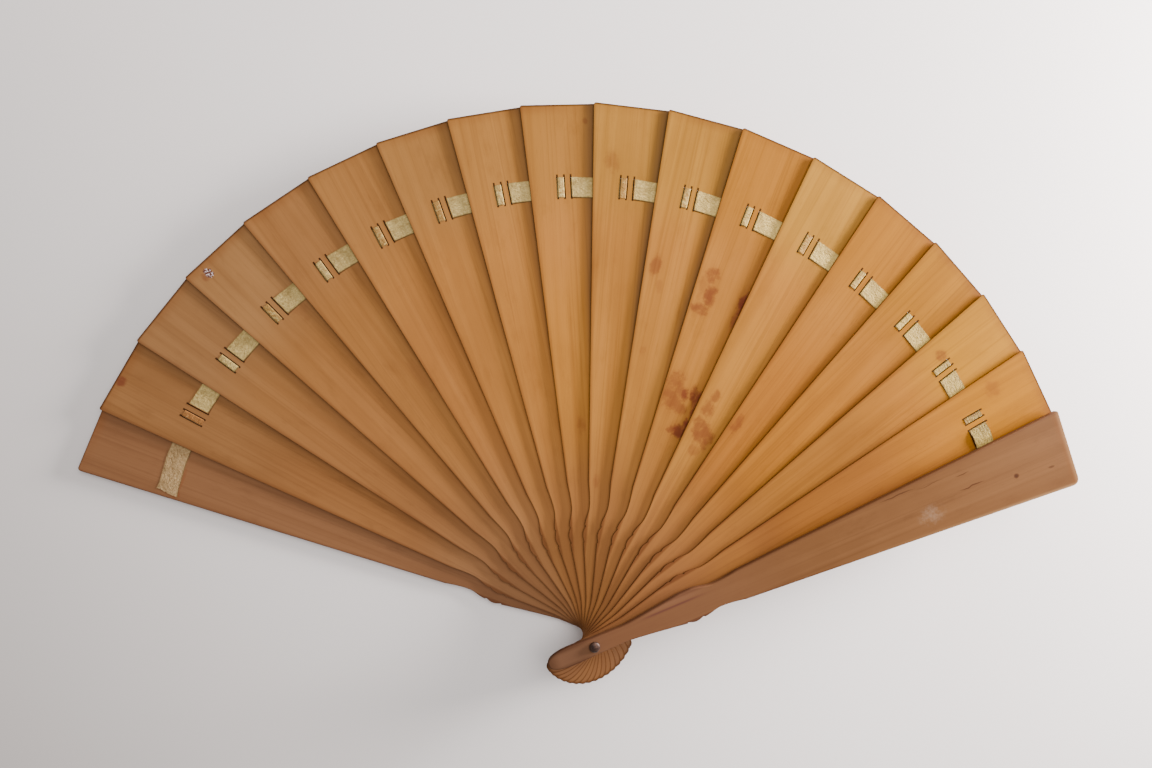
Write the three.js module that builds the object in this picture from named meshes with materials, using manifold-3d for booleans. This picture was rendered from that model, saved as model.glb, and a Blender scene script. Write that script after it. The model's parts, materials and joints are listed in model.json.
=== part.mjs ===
// A brisé folding fan: eighteen wooden blades turning on one rivet and strung on one silk ribbon.
// Millimetres. The rivet's axis is Z through the origin, the back guard rests on z = 0,
// +Y is the middle of the open spread, and the fan is modelled fully open.
import * as THREE from 'three';
import { mergeVertices } from 'three/addons/utils/BufferGeometryUtils.js';
import Module from 'manifold-3d';

const wasm = await Module();
wasm.setup();

// Stack: blade 0 is the back guard, 1 to 16 are the sticks and 17 is the front guard.
// The front guard rides higher over the last stick, where the ribbon's last span arches up.
const STICK_COUNT = 16;
const FRONT = STICK_COUNT + 1;
const GUARD_THICKNESS = 2.0;
const STICK_THICKNESS = 0.7;
const LAYER_GAP = 0.35;
const FRONT_GAP = 1.0;

// Spread: the ribbon's hand-set spans let the blades open by slightly different angles, in degrees.
const MEAN_STEP = 8.016;
const STEP_RIPPLE = 0.46;
const RIPPLE_PERIOD = 9.2;
const RIPPLE_PHASE = 0.43;
const FIRST_SPAN_SHORTFALL = 1.06;

// Blade outline: half widths at distances from the rivet, positive towards the tip.
const TIP = 202;
const TIP_HALF = 15.5;
const SHOULDER = 60;
const SHOULDER_HALF = 6.0;
const WAIST = 50;
const WAIST_HALF = 4.8;
const BARB = 43;
const BARB_HALF = 6.05;
const LOBE_TOP = 42.5;
const LOBE_FOOT = 36.2;
const LOBE_ROOT_HALF = 5.65;
const LOBE_SWELL = 0.85;
const COLLAR = 35.8;
const COLLAR_HALF = 6.0;
const SHANK = 12;
const SHANK_HALF = 3.1;
const RIVET_HALF = 3.3;
const HEAD_HALF = 3.7;
const HEAD_BLUNTNESS = 0.75;
const STICK_HEAD = { shoulder: -11, end: -20 };
const GUARD_HEAD = { shoulder: -9.5, end: -18.5 };
const SHARP_CORNER = 0.7;
const BACK_GUARD_CORNER = 1.2;
const FRONT_GUARD_CORNER = 2.8;
const GUARD_EDGE = 0.35;

// Rivet: a domed pin whose foot is held by a flat cap, countersunk in the back guard.
const PIN_RADIUS = 1.0;
const HOLE_RADIUS = 1.08;
const HOLE_SIDES = 24;
const RIVET_SIDES = 32;
const DOME_RADIUS = 2.05;
const DOME_HEIGHT = 1.3;
const DOME_RIM = 0.2;
const DOME_LIFT = 0.12;
const CAP_RADIUS = 2.0;
const CAP_HEIGHT = 0.55;
const CAP_EDGE = 0.1;
const SOCKET_RADIUS = 1.06;
const SOCKET_FLOOR = 0.2;
const PIN_FOOT = 0.3;
const COUNTERBORE_RADIUS = 2.2;
const COUNTERBORE_DEPTH = 0.65;

// Ribbon slots: three in each stick, along its length, at x = A, B and C across it.
const SLOT_LOW = 167.4;
const SLOT_HIGH = 176.6;
const SLOT_WIDTH = 0.7;
const SLOT_A = -3.3;
const SLOT_B = -0.6;
const SLOT_C = 1.85;

// Ribbon: the weave goes up through A, down through B and up through C of each stick,
// pulled against the side of each slot that it turns over.
const RIBBON_LOW = 168.0;
const RIBBON_HIGH = 175.5;
const RIBBON_THICKNESS = 0.1;
const LEG_A = SLOT_A + 0.2;
const LEG_B = SLOT_B - 0.2;
const LEG_C = SLOT_C + 0.2;
const RIBBON_LIFT = 0.05;
const JOIN_GAP = 0.03;
const BACK_END_LEFT = -11.5;
const BACK_END_RIGHT = 1.5;
const BACK_END_SKEW = 2.3;
const BACK_SPAN_SKEW = 0.9;
const FRONT_END_RIGHT = 10.5;

const COLOURS = {
  stick: 0xc48d4f,
  guard: 0xa6764b,
  ribbon: 0xd9cfa4,
  rivet: 0x3f2c1e,
};

function material(colour, roughness, metalness) {
  return new THREE.MeshStandardMaterial({ color: colour, roughness, metalness });
}

function mix(from, to, share) {
  return from + (to - from) * share;
}

function bladeBottom(index) {
  if (index === 0) {
    return 0;
  }
  const extra = index === FRONT ? FRONT_GAP - LAYER_GAP : 0;
  return GUARD_THICKNESS + LAYER_GAP + (index - 1) * (STICK_THICKNESS + LAYER_GAP) + extra;
}

function bladeTop(index) {
  const thickness = index === 0 || index === FRONT ? GUARD_THICKNESS : STICK_THICKNESS;
  return bladeBottom(index) + thickness;
}

// Clockwise turn of a blade, in degrees, counted from the left end of the spread.
function spreadTurn(index) {
  const phase = (2 * Math.PI * (index - RIPPLE_PHASE)) / RIPPLE_PERIOD;
  const shortfall = index === 0 ? FIRST_SPAN_SHORTFALL : 0;
  return MEAN_STEP * index - STEP_RIPPLE * Math.cos(phase) + shortfall;
}

// Turn about Z that takes a blade drawn along +Y to its open place, in radians.
function openTurn(index) {
  const middle = (spreadTurn(0) + spreadTurn(FRONT)) / 2;
  return THREE.MathUtils.degToRad(middle - spreadTurn(index));
}

// One long edge from the tip to the end of the head, as [half width, distance] pairs.
function longEdge(corner, head) {
  const edge = [];
  for (let i = 0; i <= 3; i += 1) {
    const angle = (Math.PI / 2) * (1 - i / 3);
    edge.push([TIP_HALF - corner + corner * Math.cos(angle), TIP - corner + corner * Math.sin(angle)]);
  }
  for (let i = 0; i <= 4; i += 1) {
    const share = i / 4;
    edge.push([mix(SHOULDER_HALF, WAIST_HALF, Math.sin(share * Math.PI / 2)), mix(SHOULDER, WAIST, share)]);
  }
  for (let i = 1; i <= 5; i += 1) {
    const share = i / 5;
    edge.push([mix(WAIST_HALF, BARB_HALF, (1 - Math.cos(share * Math.PI)) / 2), mix(WAIST, BARB, share)]);
  }
  for (let i = 0; i <= 5; i += 1) {
    const share = i / 5;
    edge.push([LOBE_ROOT_HALF + LOBE_SWELL * Math.sin(share * Math.PI), mix(LOBE_TOP, LOBE_FOOT, share)]);
  }
  for (let i = 0; i <= 4; i += 1) {
    const share = i / 4;
    edge.push([mix(COLLAR_HALF, SHANK_HALF, 1 - (1 - share) ** 1.15), mix(COLLAR, SHANK, share)]);
  }
  edge.push([RIVET_HALF, 0]);
  for (let i = 1; i <= 2; i += 1) {
    const share = i / 2;
    edge.push([mix(RIVET_HALF, HEAD_HALF, Math.sin(share * Math.PI / 2)), head.shoulder * share]);
  }
  for (let i = 1; i <= 5; i += 1) {
    const angle = (Math.PI / 2) * (i / 5);
    const half = i < 5 ? HEAD_HALF * Math.cos(angle) ** HEAD_BLUNTNESS : 0;
    edge.push([half, mix(head.shoulder, head.end, Math.sin(angle))]);
  }
  return edge;
}

// The whole outline, drawn along +Y with the rivet at the origin and x across the blade.
function bladeShape(leftCorner, rightCorner, head) {
  const right = longEdge(rightCorner, head).map(([x, y]) => new THREE.Vector2(x, y));
  const left = longEdge(leftCorner, head).map(([x, y]) => new THREE.Vector2(-x, y));
  return new THREE.Shape([...right, ...left.slice(0, -1).reverse()]);
}

function circlePath(radius, sides) {
  const points = [];
  for (let i = 0; i < sides; i += 1) {
    const angle = (2 * Math.PI * i) / sides;
    points.push(new THREE.Vector2(radius * Math.cos(angle), radius * Math.sin(angle)));
  }
  return points;
}

function rectanglePath(left, right, low, high) {
  return [
    new THREE.Vector2(left, low),
    new THREE.Vector2(right, low),
    new THREE.Vector2(right, high),
    new THREE.Vector2(left, high),
  ];
}

function toSolid(geometry) {
  const bare = geometry.clone();
  bare.deleteAttribute('normal');
  bare.deleteAttribute('uv');
  const merged = mergeVertices(bare, 1e-4);
  return new wasm.Manifold(new wasm.Mesh({
    numProp: 3,
    vertProperties: new Float32Array(merged.attributes.position.array),
    triVerts: new Uint32Array(merged.index.array),
  }));
}

function toGeometry(solid) {
  const mesh = solid.getMesh();
  const geometry = new THREE.BufferGeometry();
  geometry.setAttribute('position', new THREE.BufferAttribute(mesh.vertProperties, 3));
  geometry.setIndex(new THREE.BufferAttribute(mesh.triVerts, 1));
  geometry.computeVertexNormals();
  return geometry;
}

function cylinderAlongZ(radius, bottom, top, sides) {
  const disc = new THREE.Shape(circlePath(radius, sides));
  const geometry = new THREE.ExtrudeGeometry(disc, { depth: top - bottom, bevelEnabled: false });
  geometry.translate(0, 0, bottom);
  return geometry;
}

function boxAlongZ(left, right, low, high, bottom, top) {
  const outline = new THREE.Shape(rectanglePath(left, right, low, high));
  const geometry = new THREE.ExtrudeGeometry(outline, { depth: top - bottom, bevelEnabled: false });
  geometry.translate(0, 0, bottom);
  return geometry;
}

// A stick drilled for the pin and cut with the ribbon's three slots.
function stickGeometry() {
  const outline = bladeShape(SHARP_CORNER, SHARP_CORNER, STICK_HEAD);
  const body = new THREE.ExtrudeGeometry(outline, { depth: STICK_THICKNESS, bevelEnabled: false });
  const hole = cylinderAlongZ(HOLE_RADIUS, -1, STICK_THICKNESS + 1, HOLE_SIDES);
  let solid = toSolid(body).subtract(toSolid(hole));
  [SLOT_A, SLOT_B, SLOT_C].forEach((x) => {
    const half = SLOT_WIDTH / 2;
    const slot = boxAlongZ(x - half, x + half, SLOT_LOW, SLOT_HIGH, -1, STICK_THICKNESS + 1);
    solid = solid.subtract(toSolid(slot));
  });
  return toGeometry(solid);
}

// A guard with softened edges, drilled for the pin. The back guard is counterbored for the cap.
function guardGeometry(outline, counterbored) {
  const body = new THREE.ExtrudeGeometry(outline, {
    depth: GUARD_THICKNESS - 2 * GUARD_EDGE,
    bevelEnabled: true,
    bevelThickness: GUARD_EDGE,
    bevelSize: GUARD_EDGE,
    bevelOffset: -GUARD_EDGE,
    bevelSegments: 2,
  });
  body.translate(0, 0, GUARD_EDGE);
  const hole = cylinderAlongZ(HOLE_RADIUS, -1, GUARD_THICKNESS + 1, HOLE_SIDES);
  let solid = toSolid(body).subtract(toSolid(hole));
  if (counterbored) {
    const pocket = cylinderAlongZ(COUNTERBORE_RADIUS, -1, COUNTERBORE_DEPTH, RIVET_SIDES);
    solid = solid.subtract(toSolid(pocket));
  }
  return toGeometry(solid);
}

function latheAlongZ(profile) {
  const points = profile.map(([radius, z]) => new THREE.Vector2(radius, z));
  const geometry = new THREE.LatheGeometry(points, RIVET_SIDES);
  geometry.rotateX(Math.PI / 2);
  return geometry;
}

// The pin's shank, and the domed head that holds the front guard down.
function pinGeometry() {
  const seat = bladeTop(FRONT) + DOME_LIFT;
  const profile = [[0, PIN_FOOT], [PIN_RADIUS, PIN_FOOT], [PIN_RADIUS, seat], [DOME_RADIUS, seat]];
  for (let i = 0; i < 5; i += 1) {
    const angle = (Math.PI / 2) * (i / 5);
    const height = mix(DOME_RIM, DOME_HEIGHT, Math.sin(angle));
    profile.push([DOME_RADIUS * Math.cos(angle), seat + height]);
  }
  profile.push([0, seat + DOME_HEIGHT]);
  return latheAlongZ(profile);
}

// The flat foot of the rivet, with the blind socket that the shank is fixed in.
function capGeometry() {
  return latheAlongZ([
    [0, 0],
    [CAP_RADIUS - CAP_EDGE, 0],
    [CAP_RADIUS, CAP_EDGE],
    [CAP_RADIUS, CAP_HEIGHT],
    [SOCKET_RADIUS, CAP_HEIGHT],
    [SOCKET_RADIUS, SOCKET_FLOOR],
    [0, SOCKET_FLOOR],
  ]);
}

// The ribbon's path through one stick: its section across the stick, extruded along the slots.
function weaveGeometry() {
  const half = RIBBON_THICKNESS / 2;
  const over = STICK_THICKNESS + RIBBON_LIFT;
  const under = -RIBBON_LIFT;
  const section = new THREE.Shape([
    new THREE.Vector2(LEG_A - half, under - RIBBON_THICKNESS),
    new THREE.Vector2(LEG_A + half, under - RIBBON_THICKNESS),
    new THREE.Vector2(LEG_A + half, over),
    new THREE.Vector2(LEG_B - half, over),
    new THREE.Vector2(LEG_B - half, under - RIBBON_THICKNESS),
    new THREE.Vector2(LEG_C + half, under - RIBBON_THICKNESS),
    new THREE.Vector2(LEG_C + half, over + RIBBON_THICKNESS),
    new THREE.Vector2(LEG_C - half, over + RIBBON_THICKNESS),
    new THREE.Vector2(LEG_C - half, under),
    new THREE.Vector2(LEG_B + half, under),
    new THREE.Vector2(LEG_B + half, over + RIBBON_THICKNESS),
    new THREE.Vector2(LEG_A - half, over + RIBBON_THICKNESS),
  ]);
  const width = RIBBON_HIGH - RIBBON_LOW;
  const geometry = new THREE.ExtrudeGeometry(section, { depth: width, bevelEnabled: false });
  geometry.rotateX(Math.PI / 2);
  geometry.translate(0, RIBBON_HIGH, 0);
  return geometry;
}

// A point on one blade, given across and along it, in the frame of another blade.
function inFrameOf(index, owner, x, y) {
  return new THREE.Vector2(x, y).rotateAround(new THREE.Vector2(), openTurn(owner) - openTurn(index));
}

// The free stretch from one blade's last slot to the next blade's first slot.
function spanGeometry(index) {
  const start = (index === 0 ? BACK_END_RIGHT : LEG_C + RIBBON_THICKNESS / 2) + JOIN_GAP;
  const end = LEG_A - RIBBON_THICKNESS / 2 - JOIN_GAP;
  const skew = index === 0 ? BACK_SPAN_SKEW : 0;
  const outline = new THREE.Shape([
    new THREE.Vector2(start, RIBBON_LOW - skew),
    inFrameOf(index, index + 1, end, RIBBON_LOW),
    inFrameOf(index, index + 1, end, RIBBON_HIGH),
    new THREE.Vector2(start, RIBBON_HIGH - skew),
  ]);
  return new THREE.ExtrudeGeometry(outline, { depth: RIBBON_THICKNESS, bevelEnabled: false });
}

// A glued end of the ribbon, which may run off askew from the line of the slots.
function gluedEndGeometry(left, right, leftSkew, rightSkew) {
  const outline = new THREE.Shape([
    new THREE.Vector2(left, RIBBON_LOW - leftSkew),
    new THREE.Vector2(right, RIBBON_LOW - rightSkew),
    new THREE.Vector2(right, RIBBON_HIGH - rightSkew),
    new THREE.Vector2(left, RIBBON_HIGH - leftSkew),
  ]);
  return new THREE.ExtrudeGeometry(outline, { depth: RIBBON_THICKNESS, bevelEnabled: false });
}

const fan = new THREE.Group();
const blades = [];
for (let index = 0; index <= FRONT; index += 1) {
  const blade = new THREE.Group();
  blade.rotation.z = openTurn(index);
  blades.push(blade);
  fan.add(blade);
}

function addPiece(parent, name, geometry, look, bottom) {
  const mesh = new THREE.Mesh(geometry, look);
  mesh.name = name;
  mesh.position.z = bottom;
  parent.add(mesh);
}

function numbered(stem, index) {
  return `${stem}_${String(index).padStart(2, '0')}`;
}

const backOutline = bladeShape(BACK_GUARD_CORNER, SHARP_CORNER, GUARD_HEAD);
const backGuard = guardGeometry(backOutline, true);
addPiece(blades[0], 'back_guard', backGuard, material(COLOURS.guard, 0.5, 0), 0);
for (let index = 1; index <= STICK_COUNT; index += 1) {
  const wood = material(COLOURS.stick, 0.5, 0);
  addPiece(blades[index], numbered('stick', index), stickGeometry(), wood, bladeBottom(index));
}
const frontOutline = bladeShape(SHARP_CORNER, FRONT_GUARD_CORNER, GUARD_HEAD);
const frontGuard = guardGeometry(frontOutline, false);
addPiece(blades[FRONT], 'front_guard', frontGuard, material(COLOURS.guard, 0.5, 0), bladeBottom(FRONT));

addPiece(fan, 'rivet_pin', pinGeometry(), material(COLOURS.rivet, 0.45, 0.8), 0);
addPiece(fan, 'rivet_cap', capGeometry(), material(COLOURS.rivet, 0.45, 0.8), 0);

const backEnd = gluedEndGeometry(BACK_END_LEFT, BACK_END_RIGHT, BACK_END_SKEW, BACK_SPAN_SKEW);
const backEndBottom = bladeTop(0) + RIBBON_LIFT;
addPiece(blades[0], 'ribbon_end_back', backEnd, material(COLOURS.ribbon, 0.7, 0), backEndBottom);
for (let index = 0; index <= STICK_COUNT; index += 1) {
  const silk = material(COLOURS.ribbon, 0.7, 0);
  const bottom = bladeTop(index) + RIBBON_LIFT;
  addPiece(blades[index], numbered('ribbon_span', index), spanGeometry(index), silk, bottom);
}
for (let index = 1; index <= STICK_COUNT; index += 1) {
  const silk = material(COLOURS.ribbon, 0.7, 0);
  addPiece(blades[index], numbered('ribbon_weave', index), weaveGeometry(), silk, bladeBottom(index));
}
const frontEnd = gluedEndGeometry(LEG_A, FRONT_END_RIGHT, 0, 0);
const frontEndBottom = bladeBottom(FRONT) - RIBBON_LIFT - RIBBON_THICKNESS;
addPiece(blades[FRONT], 'ribbon_end_front', frontEnd, material(COLOURS.ribbon, 0.7, 0), frontEndBottom);

export default fan;
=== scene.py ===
import bpy, bmesh, json, math, random
from mathutils import Matrix, Vector, noise


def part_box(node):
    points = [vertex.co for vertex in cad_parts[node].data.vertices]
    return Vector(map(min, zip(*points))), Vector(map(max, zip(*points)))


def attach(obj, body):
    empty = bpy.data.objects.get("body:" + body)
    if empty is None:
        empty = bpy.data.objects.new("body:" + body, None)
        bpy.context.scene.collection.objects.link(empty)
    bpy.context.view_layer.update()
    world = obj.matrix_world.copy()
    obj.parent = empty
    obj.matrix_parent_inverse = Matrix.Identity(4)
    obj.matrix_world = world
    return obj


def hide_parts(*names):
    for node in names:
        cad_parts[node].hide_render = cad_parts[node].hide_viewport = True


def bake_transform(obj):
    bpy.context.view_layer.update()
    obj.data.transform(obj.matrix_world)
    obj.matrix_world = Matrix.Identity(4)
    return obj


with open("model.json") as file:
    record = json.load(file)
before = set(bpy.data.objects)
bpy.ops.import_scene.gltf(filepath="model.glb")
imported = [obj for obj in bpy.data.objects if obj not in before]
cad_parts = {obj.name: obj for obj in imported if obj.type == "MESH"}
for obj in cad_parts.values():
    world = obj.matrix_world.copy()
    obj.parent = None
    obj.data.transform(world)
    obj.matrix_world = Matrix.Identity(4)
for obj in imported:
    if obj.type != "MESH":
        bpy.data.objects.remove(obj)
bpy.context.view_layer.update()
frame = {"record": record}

MM = 0.001
FRONT = 17

# ---------------------------------------------------------------- camera, first
# It looks down from about 24 cm over the fan, tilted a few degrees, with a wide lens.
camera = bpy.data.objects.new("camera", bpy.data.cameras.new("camera"))
camera.data.lens = 18.77
camera.data.sensor_width = 36
camera.data.clip_start = 0.01
camera.location = (-0.0289, 0.1108, 0.2385)
camera.rotation_euler = (-0.0595, -0.0898, 0.0215)
bpy.context.scene.collection.objects.link(camera)
bpy.context.scene.camera = camera

# ---------------------------------------------------------------- the fan's layout
joints = {j["name"]: j for j in frame["record"]["behaviour"]["joints"]}
steps = [joints[f"hinge_{i:02d}"]["range_deg"][1] for i in range(1, 18)]


def blade_name(k):
    return "back_guard" if k == 0 else "front_guard" if k == FRONT else f"stick_{k:02d}"


def blade_angle(k):
    """Turn about Z, in radians, from a blade drawn along +Y to its open place."""
    return math.radians(sum(steps) / 2 - sum(steps[:k]))


def blade_z(k):
    """The heights of a blade's two broad faces, in metres."""
    low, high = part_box(blade_name(k))
    return low[2], high[2]


def place(k):
    """From a blade's own frame, drawn along +Y, to its open place."""
    return Matrix.Rotation(blade_angle(k), 4, "Z")


# ---------------------------------------------------------------- node helpers
class Nodes:
    """Short calls for building one material's node tree."""

    def __init__(self, name):
        self.mat = bpy.data.materials.new(name)
        self.mat.use_nodes = True
        self.tree = self.mat.node_tree
        self.bsdf = self.tree.nodes["Principled BSDF"]
        self.coords = self.tree.nodes.new("ShaderNodeTexCoord")

    def put(self, socket, value):
        if isinstance(value, bpy.types.NodeSocket):
            self.tree.links.new(value, socket)
        else:
            socket.default_value = value

    def mapped(self, scale, offset=(0, 0, 0), coords="Object", turn=0.0):
        n = self.tree.nodes.new("ShaderNodeMapping")
        self.put(n.inputs["Vector"], self.coords.outputs[coords])
        n.inputs["Scale"].default_value = scale
        n.inputs["Location"].default_value = offset
        n.inputs["Rotation"].default_value = (0, 0, turn)
        return n.outputs["Vector"]

    def noise(self, vector, detail=3.0, rough=0.5, distort=0.0):
        n = self.tree.nodes.new("ShaderNodeTexNoise")
        self.put(n.inputs["Vector"], vector)
        n.inputs["Scale"].default_value = 1.0
        n.inputs["Detail"].default_value = detail
        n.inputs["Roughness"].default_value = rough
        n.inputs["Distortion"].default_value = distort
        return n.outputs["Fac"]

    def remap(self, value, a, b, c=0.0, d=1.0, smooth=True):
        n = self.tree.nodes.new("ShaderNodeMapRange")
        n.interpolation_type = "SMOOTHSTEP" if smooth else "LINEAR"
        self.put(n.inputs["Value"], value)
        for name, number in zip(("From Min", "From Max", "To Min", "To Max"), (a, b, c, d)):
            n.inputs[name].default_value = number
        return n.outputs["Result"]

    def math(self, kind, a, b=0.0, c=0.0):
        n = self.tree.nodes.new("ShaderNodeMath")
        n.operation = kind
        self.put(n.inputs[0], a)
        self.put(n.inputs[1], b)
        self.put(n.inputs[2], c)
        return n.outputs[0]

    def blend(self, fac, a, b, kind="MIX"):
        n = self.tree.nodes.new("ShaderNodeMix")
        n.data_type = "RGBA"
        n.blend_type = kind
        self.put(n.inputs[0], fac)
        self.put(n.inputs[6], a)
        self.put(n.inputs[7], b)
        return n.outputs[2]

    def times(self, *values):
        """The product of several values."""
        out = values[0]
        for value in values[1:]:
            out = self.math("MULTIPLY", out, value)
        return out

    def paint(self, base, share, code):
        """The base with a share of one display colour laid over it."""
        return self.blend(share, base, colour(code))

    def tinted(self, base, share, factors):
        """The base with a share of itself multiplied by red, green and blue factors."""
        return self.blend(share, base, self.blend(1.0, base, factors + (1,), "MULTIPLY"))

    def from_spot(self, x, y, spot):
        """Squared distance from a spot's centre, counted in its own half width and half length.
        The spot gives its place across and along, then the two halves, in millimetres."""
        sx, sy, rx, ry = spot
        dx = self.math("MULTIPLY", self.math("SUBTRACT", x, sx * MM), 1 / (rx * MM))
        dy = self.math("MULTIPLY", self.math("SUBTRACT", y, sy * MM), 1 / (ry * MM))
        return self.math("ADD", self.times(dx, dx), self.times(dy, dy))

    def split(self, coords="Object"):
        n = self.tree.nodes.new("ShaderNodeSeparateXYZ")
        self.put(n.inputs[0], self.coords.outputs[coords])
        return n.outputs[0], n.outputs[1], n.outputs[2]

    def bump(self, height, strength, distance, normal=None):
        n = self.tree.nodes.new("ShaderNodeBump")
        self.put(n.inputs["Height"], height)
        n.inputs["Strength"].default_value = strength
        n.inputs["Distance"].default_value = distance
        if normal is not None:
            self.put(n.inputs["Normal"], normal)
        return n.outputs["Normal"]


def colour(code):
    """A linear RGBA colour from a six-digit display colour."""
    parts = [int(code[i:i + 2], 16) / 255 for i in (0, 2, 4)]
    return tuple(p / 12.92 if p < 0.04045 else ((p + 0.055) / 1.055) ** 2.4 for p in parts) + (1.0,)


def mix(a, b, t):
    return a + (b - a) * t


def mixed(a, b, t):
    """A colour between two colours."""
    return tuple(mix(a[i], b[i], t) for i in range(4))


def scaled(c, r, g, b):
    return (c[0] * r, c[1] * g, c[2] * b, 1.0)


# ---------------------------------------------------------------- blade sizes, in millimetres
TIP, TIP_HALF = 202, 15.5
# half width and distance from the rivet where the blade's straight taper ends, at its waist,
# where the handle's taper starts, and at its neck
TAPER_END, WAIST, HANDLE_TOP, NECK = (6.0, 60), (4.8, 50), (6.0, 35.8), (3.1, 12)
# the head: its half width, how blunt its end is, and where its rounding starts and ends
HEAD_HALF, BLUNT = 3.7, 0.75
STICK_HEAD, GUARD_HEAD = (-11, -19.95), (-9.5, -18.45)
HUB_HALF, HOLE = 3.3, 1.08  # half width beside the rivet, and the radius of its hole
# the small rounded step between the waist and the handle: where it starts and ends, its half
# width at both, and how far it swells out between them
STEP_TOP, STEP_FOOT, STEP_HALF, STEP_SWELL = 42.5, 36.2, 5.65, 0.85
SLOTS = (-3.3, -0.6, 1.85)
LEGS = (SLOTS[0] + 0.2, SLOTS[1] - 0.2, SLOTS[2] + 0.2)  # where the ribbon goes through
LOW, HIGH = 168.0, 175.5  # the ribbon's two selvedges
RIBBON_AT = 172 * MM  # a line along the middle of the ribbon, in metres
# each slot's two edges: the ribbon hugs one of them
CLOSE, WIDE = 0.11, 0.42
CUTS = (
    (LEGS[0] - WIDE, LEGS[0] + CLOSE),
    (LEGS[1] - CLOSE, LEGS[1] + WIDE),
    (LEGS[2] - WIDE, LEGS[2] + CLOSE),
)

# ---------------------------------------------------------------- wood
# Stains by blade: across, along, half width and half length in millimetres, strength.
STAINS = {
    1: [(-2.5, 200, 1.6, 1.6, 0.9)],
    3: [(6.5, 168, 2.5, 6, 0.25), (-10.3, 197.2, 1.1, 1.5, 0.6)],
    4: [(4.0, 120, 2.0, 8, 0.25)],
    8: [(8.5, 196, 0.9, 1.2, 0.5), (0.5, 82, 1.6, 3.0, 0.45)],
    9: [(-7, 181, 2.6, 3.5, 0.45), (-3, 60, 1.2, 2.5, 0.4)],
    10: [(-7.5, 144.4, 2.2, 3.6, 0.75), (-4.5, 137, 1.4, 2.5, 0.3), (-5, 112, 1.5, 2, 0.3)],
    11: [
        (-6.4, 146.0, 2.8, 3.0, 0.85), (-4.6, 139.0, 2.6, 3.8, 1.0), (-6.3, 132.7, 3.2, 2.2, 0.9),
        (-8.4, 142, 1.6, 6, 0.4), (9.0, 139.7, 2.0, 5.2, 1.25), (8.0, 134, 1.5, 4, 0.8),
        (-4.9, 104.5, 3.4, 3.6, 0.75), (-3.6, 98.0, 3.8, 5.5, 0.8), (0.2, 99.9, 1.7, 2.2, 1.15),
        (3.4, 101.8, 1.8, 2.6, 1.2), (5.6, 98.0, 1.7, 5.5, 1.2), (-0.5, 94.5, 3.4, 2.4, 0.75),
        (3.2, 86.2, 3.2, 2.8, 1.2), (0.2, 86.0, 2.2, 1.6, 0.9), (4.6, 88.0, 1.6, 3.4, 1.3),
    ],
    12: [
        (-4.0, 104.0, 1.9, 2.4, 0.8), (-4.2, 98.6, 2.4, 3.6, 0.8), (-3.8, 92.0, 2.6, 4.4, 0.85),
        (-1.4, 88.6, 3.2, 4.0, 0.95), (1.6, 88.0, 2.2, 3.6, 0.9), (-1.0, 82.5, 2.0, 2.6, 0.55),
    ],
    13: [(-5.8, 98.9, 1.8, 4.0, 0.7)],
    15: [(-5.9, 174, 2.4, 2.0, 0.8)],
    16: [(-8, 184, 3.4, 3.0, 0.45)],
}
# Glue that soaked into the back guard beside the ribbon's end, in the same form.
GLUE = ((-10.8, 166.6, 1.6, 1.7, 0.95), (-5.5, 166.3, 5.5, 0.9, 0.4))
# Dark splits along the front guard's grain, and two small marks, in the same form.
SPLITS = (
    (-1.0, 159, 0.28, 5.5, 0.8), (-9.0, 129, 0.34, 8, 0.7), (-6.7, 156.6, 0.22, 3, 0.7),
    (-8.0, 143, 0.22, 6, 0.45), (2.2, 177.5, 1.0, 1.2, 0.9), (4.4, 192.4, 0.5, 1.5, 0.6),
)
CHIP = (-8.1, 197.5, 1.3, 1.9)
SCUFF = (3.8, 140, 4.2, 6.0)

# How a stick's colour differs from its tone, towards the tip and in the middle: red, green, blue.
STICK_TINTS = {
    1: ((1, 1, 1), (0.97, 0.91, 0.86)),
    2: ((0.96, 1.03, 1.20), (0.97, 0.94, 0.95)),
    3: ((1.05, 1.17, 1.42), (1.02, 0.99, 0.99)),
    4: ((0.96, 1.00, 1.18), (1.04, 1.04, 1.04)),
    5: ((0.88, 0.92, 1.02), (1.01, 0.98, 0.99)),
    6: ((0.90, 0.99, 1.14), (1.06, 1.06, 1.04)),
    7: ((0.92, 0.98, 1.04), (1.03, 1.02, 0.96)),
    8: ((0.87, 0.92, 0.92), (1.03, 1.03, 0.85)),
    9: ((0.95, 1.05, 0.95), (0.98, 0.98, 0.94)),
    10: ((0.99, 1.10, 0.92), (1.01, 1.03, 1.04)),
    11: ((0.90, 0.88, 0.63), (0.96, 0.96, 0.94)),
    12: ((1.04, 1.22, 1.00), (0.97, 1.01, 0.98)),
    13: ((0.95, 0.93, 0.60), (0.91, 0.84, 0.80)),
    14: ((0.91, 0.93, 0.50), (0.92, 0.89, 0.84)),
    15: ((1.08, 1.20, 0.58), (0.83, 0.85, 1.12)),
    16: ((1.00, 1.01, 0.40), (0.73, 0.70, 1.10)),
}
GUARD_TONES = {0: "754e31", FRONT: "6a4629"}
# How dark the painted shadow beside the next blade's edge is, by stick.
SHADOW_SHARE = {6: 0.32, 7: 0.44, 8: 0.62, 9: 0.66, 10: 0.52}
LITTLE_SHADOW = 0.20
# In metres, a blade's half width is its start plus its taper times the distance from the rivet.
BLADE_TAPER, BLADE_START = 0.0669, 0.00199
HANDLE_TAPER, HANDLE_START = 0.1208, 0.00165


def stick_tone(k, shade):
    """Each stick's own shade of sandalwood: browner at the left of the open fan, golden at the right."""
    if k <= 8:
        tone = mixed(colour("7f5632"), colour("a0682f"), (k - 1) / 7)
    else:
        tone = mixed(colour("a46c30"), colour("99601f"), (k - 8) / 8)
    return scaled(tone, 1 + shade, 1 + shade, 1 + shade)


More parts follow.
